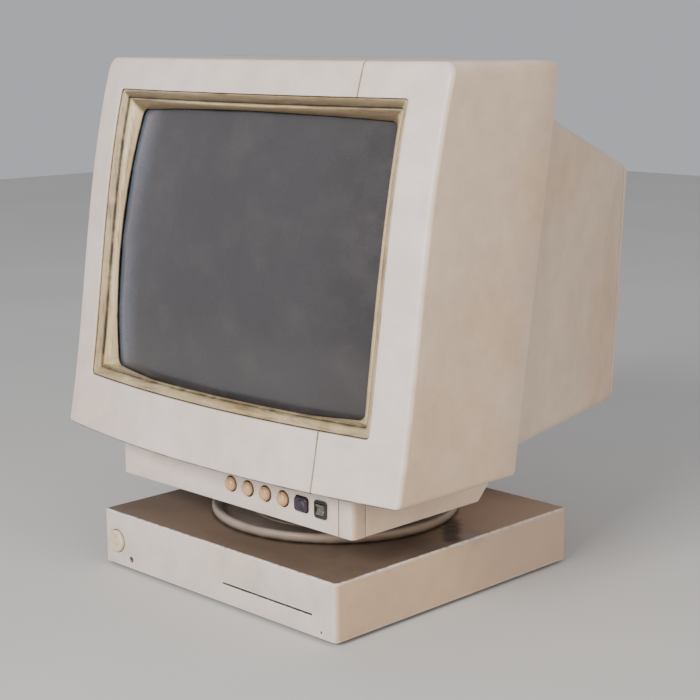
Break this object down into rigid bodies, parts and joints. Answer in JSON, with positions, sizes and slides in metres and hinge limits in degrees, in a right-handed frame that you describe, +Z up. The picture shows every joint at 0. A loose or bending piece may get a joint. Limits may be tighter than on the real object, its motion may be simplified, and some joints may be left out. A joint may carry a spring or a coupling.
{
  "type": "computer monitor",
  "caption": "Desktop tube monitor with a curved glass screen in a tapered plastic casing, front knobs and buttons, on a tilt and swivel dish over a slim square base unit",
  "frame": {"origin": "on the table under the middle of the whole object, at the centre of the bounding box and at the height of the feet's undersides", "axes": "+Z is up, the screen faces -Y, and +X is to the right of a person who looks at the screen"},
  "size_m": [0.35, 0.3616, 0.3788],
  "materials": {
    "casing": "textured moulded plastic, yellowed with age",
    "base_casing": "textured moulded plastic, yellowed with age",
    "bevel": "satin moulded plastic, yellowed",
    "knob": "gloss",
    "button": "satin",
    "rocker": "fine mottled grain",
    "dark_plastic": "fine grain",
    "glass": "polished, grey tinted, opaque from the coating behind it",
    "steel": "zinc plated",
    "board": "lacquered circuit board",
    "copper": "varnished copper wire",
    "ferrite": "sintered, dull",
    "aluminium": "plain",
    "rubber": "matt",
    "cream": "plain moulded"
  },
  "bodies": {
    "base": {"base_cover": "base_casing", "base_plate": "steel", "base_board": "board", "base_switch": "dark_plastic", "jack_socket": "dark_plastic", "base_power_socket": "dark_plastic", "foot_front_left": "rubber", "foot_front_right": "rubber", "foot_rear_left": "rubber", "foot_rear_right": "rubber"},
    "stand": {"swivel_dish": "casing", "tilt_axle": "steel", "swivel_retainer": "steel", "swivel_bolt": "steel"},
    "mode_button": {"mode_button": "button"},
    "rocker": {"rocker": "rocker"},
    "base_button": {"base_button": "knob"},
    "knob_1": {"knob_1": "knob"},
    "knob_2": {"knob_2": "knob"},
    "knob_3": {"knob_3": "knob"},
    "knob_4": {"knob_4": "knob"},
    "head": {"front_housing": "casing", "rear_cover": "casing", "lower_housing": "casing", "control_panel": "casing", "panel_corner": "casing", "screen_surround": "bevel", "mode_switch": "dark_plastic", "rocker_frame": "dark_plastic", "flyback_transformer": "dark_plastic", "filter_capacitor": "dark_plastic", "power_inlet": "dark_plastic", "picture_tube": "glass", "cover_screw_1": "steel", "cover_screw_2": "steel", "potentiometer_1": "steel", "potentiometer_2": "steel", "potentiometer_3": "steel", "potentiometer_4": "steel", "tube_band": "steel", "tube_screw_1": "steel", "tube_screw_2": "steel", "tube_screw_3": "steel", "tube_screw_4": "steel", "chassis_frame": "steel", "signal_socket": "steel", "tilt_bracket": "steel", "control_board": "board", "neck_board": "board", "main_board": "board", "degauss_coil": "copper", "yoke_coil": "copper", "yoke_core": "ferrite", "power_transformer": "ferrite", "heatsink": "aluminium", "anode_cap": "rubber", "anode_lead": "rubber", "purity_rings": "cream", "tube_socket": "cream"}
  },
  "joints": [
    {"name": "swivel", "type": "hinge", "parent": "base", "child": "stand", "pos_m": [0, -0.04623, 0.0435], "axis": [0, 0, 1], "range_deg": [-45, 45]},
    {"name": "tilt", "type": "hinge", "parent": "stand", "child": "head", "pos_m": [0, -0.04623, 0.058], "axis": [1, 0, 0], "range_deg": [-12, 5]},
    {"name": "knob_1_turn", "type": "hinge", "parent": "head", "child": "knob_1", "pos_m": [0.002, -0.15123, 0.084], "axis": [0, 1, 0], "range_deg": [-140, 140]},
    {"name": "knob_2_turn", "type": "hinge", "parent": "head", "child": "knob_2", "pos_m": [0.02, -0.15123, 0.084], "axis": [0, 1, 0], "range_deg": [-140, 140]},
    {"name": "knob_3_turn", "type": "hinge", "parent": "head", "child": "knob_3", "pos_m": [0.038, -0.15123, 0.084], "axis": [0, 1, 0], "range_deg": [-140, 140]},
    {"name": "knob_4_turn", "type": "hinge", "parent": "head", "child": "knob_4", "pos_m": [0.056, -0.15123, 0.084], "axis": [0, 1, 0], "range_deg": [-140, 140]},
    {"name": "mode_button_press", "type": "slide", "parent": "head", "child": "mode_button", "axis": [0, 1, 0], "range_m": [0, 0.0025], "stiffness_N_per_m": 400, "springref_m": -0.002},
    {"name": "rocker_rock", "type": "hinge", "parent": "head", "child": "rocker", "pos_m": [0.0932, -0.14773, 0.084], "axis": [1, 0, 0], "range_deg": [-8, 8]},
    {"name": "base_button_press", "type": "slide", "parent": "base", "child": "base_button", "axis": [0, 1, 0], "range_m": [0, 0.002], "stiffness_N_per_m": 500, "springref_m": -0.002}
  ]
}
